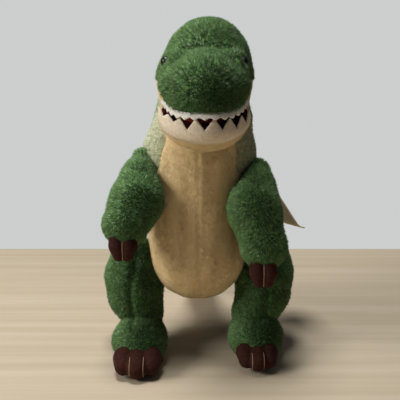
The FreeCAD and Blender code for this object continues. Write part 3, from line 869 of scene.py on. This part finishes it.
# ------------------------------------------------------------------ legs
def make_leg(side):
    out = 1 if side == "left" else -1
    hip = pivots[f"{side}_hip"]
    foot_low, foot_high = corners(f"{side}_foot_cover")
    toe_low, toe_high = corners(f"{side}_toe_cap")
    foot_x = (foot_low[0] + foot_high[0]) / 2
    ankle_z = foot_high[2]
    toe_y = toe_high[1]
    thigh = limb([
        (hip[0] - out * 1, -31, hip[2] + 14, 21), (hip[0] + out * 1, -32, hip[2] - 4, 25),
        (hip[0] * 0.75 + foot_x * 0.25, -37, ankle_z + 23, 23.5), (foot_x, -41, ankle_z + 8, 19.5),
    ], 6)
    foot = together([egg((foot_x, foot_low[1] + 32, 19), (24.5, 31, 20)),
                     egg((foot_x, foot_high[1] - 24, 17), (19, 22, 17.5))], 8)
    shape = together([thigh, foot], 3.5)

    def fold(p):
        """The vertical fold down the front of the thigh."""
        bent = hip[0] - out * 1.5 + out * 3 * np.sin((p[:, 2] - 40) / 14)
        ahead = (p[:, 1] < -35) & (p[:, 2] > ankle_z + 6)
        return np.where(ahead, p[:, 0] - bent, 30)

    def ground(p):
        return 1.0 - p[:, 2]

    def field(p):
        groove = 2.4 * np.exp(-(fold(p) / 3.5) ** 2)
        return shape(p) + groove * ramp(-p[:, 1], 38, 50) * ramp(p[:, 2], ankle_z, ankle_z + 14)
    lumpy = stuffed(field, [], 1.0, 14, 10)

    def grounded(p):
        return np.maximum(lumpy(p), ground(p))
    low = np.array([min(foot_low[0], hip[0] - 30) - 6, toe_low[1] - 2, -3])
    high = np.array([max(foot_high[0], hip[0] + 30) + 6, 12, hip[2] + 42])

    def off_the_toes(p):
        return (p[:, 1] > toe_y - 5) & (p[:, 2] > 2.2)

    panel(f"{side}_leg_plush", skin(grounded, low, high, 2.1), [], green_back, f"{side}_leg",
          [f"{side}_thigh_cover", f"{side}_leg_stuffing", f"{side}_foot_cover", f"{side}_foot_stuffing"],
          GREEN_PILE, (0, -0.2, -0.4), 50 + out, off_the_toes)

    middle_z = (toe_low[2] + toe_high[2]) / 2
    spread = {"left": 0.82, "right": 0.96}[side]
    toes = together([limb([(foot_x + x * spread, toe_y + 4, middle_z - 1, 11.5 * spread),
                           (foot_x + x * spread, toe_low[1] + 6 + abs(x) * 0.25, middle_z - 3.5,
                            (10.6 if x == 0 else 8.8) * spread)], 2) for x in (-12.5, 0, 12.5)], 1.5)
    toe_field = stuffed(toes, [], 0.3, 7, 12)

    def toe_grounded(p):
        return np.maximum(toe_field(p), 0.6 - p[:, 2])
    points, quads = skin(toe_grounded, toe_low - 8, toe_high + (8, 8, 8), 1.3)
    cap = piece(f"{side}_toes_suede", points, quads, [suede], f"{side}_leg", "brown_suede")
    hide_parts(f"{side}_toe_cap", f"{side}_toe_stuffing")
    for number, x in enumerate((-6.4 * spread, 6.4 * spread)):
        start = np.array([foot_x + x, toe_y - 4, 5.0])
        line = surface_line(toe_grounded, start, lambda t: (0, -math.sin(0.2 + 1.5 * t), math.cos(0.2 + 1.5 * t)), 26)
        thread_along(f"{side}_toe_stitch_{number}", np.array(line), f"{side}_leg",
                     [f"{side}_toe_threads"] if number == 0 else [])


# ------------------------------------------------------------------ tail
def make_tail():
    root = pivots["tail_lift"]
    end_y = corners("tail_cover")[1][1]
    shape = limb([
        (BODY_X, root[1] - 8, root[2] - 22, 18), (BODY_X, root[1] + 14, root[2] - 40, 18),
        (BODY_X, root[1] + 36, 48, 16.5), (BODY_X, root[1] + 58, 27, 13.5), (BODY_X, root[1] + 78, 15, 10.5),
        (BODY_X, end_y - 9, 9.5, 5.0),
    ], 5)
    lumpy = stuffed(shape, [], 0.7, 15, 14)

    def field(p):
        return np.maximum(lumpy(p), 1.0 - p[:, 2])

    def upper_side(p):
        """Positive above the side seams, which slope down along the tail."""
        line = 8 + (root[2] - 34 - 8) * ramp(-p[:, 1], -(end_y - 10), -(root[1] + 4))
        return p[:, 2] - line

    whole = skin(field, (BODY_X - 26, root[1] - 30, -3), (BODY_X + 26, end_y + 4, root[2] + 8), 2.0)

    def off_the_floor(p):
        return p[:, 2] > 1.8

    panel("tail_plush", whole, [upper_side], green_back, "tail", ["tail_cover", "tail_stuffing"], GREEN_PILE,
          (0, 0.35, -0.1), 61, off_the_floor)
    panel("tail_under_plush", whole, [other_side(upper_side)], cream_back, "tail", ["tail_underside"],
          CREAM_VELVET, (0, 0.3, 0), 62, off_the_floor)


# ------------------------------------------------------------------ neck roll, pellet bag and small CAD parts
def make_neck_roll():
    low, high = corners("neck_core")
    x, y, _ = (low + high) / 2
    radius = (high[0] - low[0]) / 2 - 0.6
    ends = [(x, y, low[2] + 6, radius - 5), (x, y, low[2] + 14, radius), (x, y, high[2] - 14, radius),
            (x, y, high[2] - 6, radius - 5)]
    points, quads = skin(stuffed(limb(ends), [], 0.5, 9, 16), low - 4, high + 4, 1.8)
    roll = piece("neck_roll", points, quads, [pouch_weave], "neck", "stuffing")
    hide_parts("neck_core")


def make_pouch():
    low, high = corners("pellet_pouch")
    at, half = (low + high) / 2, (high - low) / 2
    shape = together([egg(at, half - 1.5), egg(at, half * (1, 1, 0.16))], 1.5)
    field = stuffed(shape, [], 0.5, 5, 15)
    points, quads = skin(field, low - 4, high + 4, 1.8)
    bag = piece("pellet_bag", points, quads, [pouch_weave], "torso", "pouch_cloth")
    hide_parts("pellet_pouch")


def dress_cad_parts():
    looks = {
        "left_eye": eye_gloss, "right_eye": eye_gloss, "left_eye_washer": washer_plastic,
        "right_eye_washer": washer_plastic, "tag_card": card_print, "tag_loop": nylon, "sewn_label": label_weave,
    }
    for node, material in looks.items():
        mesh = frame["nodes"][node].data
        mesh.materials.clear()
        mesh.materials.append(material)


add_camera()
add_stage()
make_torso()
head = make_head()
jaw = make_jaw()
make_teeth(head, jaw)
for arm_side in ("left", "right"):
    make_arm(arm_side)
    make_leg(arm_side)
make_tail()
make_neck_roll()
make_pouch()
dress_cad_parts()
